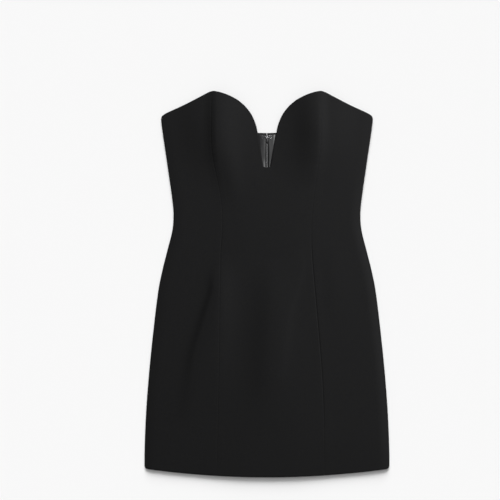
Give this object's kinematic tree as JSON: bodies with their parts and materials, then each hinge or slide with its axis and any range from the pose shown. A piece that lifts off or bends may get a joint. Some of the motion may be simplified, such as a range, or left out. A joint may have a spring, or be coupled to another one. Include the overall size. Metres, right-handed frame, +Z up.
{
  "type": "strapless dress",
  "caption": "Black strapless mini dress laid flat, with a notched sweetheart neckline, princess seams, satin back lining and a concealed centre back zip.",
  "frame": {"origin": "bottom centre of the laid dress, on the surface that the back rests on", "axes": "+Y from the hem to the neckline, +X towards the wearer's left side, +Z up out of the front"},
  "size_m": [0.4784, 0.7528, 0.0262],
  "materials": {
    "crepe": "matt black double crepe",
    "satin": "black satin lining with a soft sheen",
    "zip_tape": "woven black polyester tape",
    "zip_coil": "black nylon coil",
    "dark_metal": "black enamelled metal",
    "wire": "nickel plated wire"
  },
  "bodies": {
    "dress": {"front_centre": "crepe", "front_side_left": "crepe", "front_side_right": "crepe", "back_left": "crepe", "back_right": "crepe", "lining_left": "satin", "lining_right": "satin", "zip_tape_left": "zip_tape", "zip_tape_right": "zip_tape", "zip_chain": "zip_coil", "zip_slider": "dark_metal", "hook": "wire", "eye": "wire"},
    "pull": {"zip_pull": "dark_metal"}
  },
  "joints": [
    {"name": "pull_swing", "type": "hinge", "parent": "dress", "child": "pull", "pos_m": [0, 0.281, 0.0008], "axis": [1, 0, 0], "range_deg": [0, 170]}
  ]
}
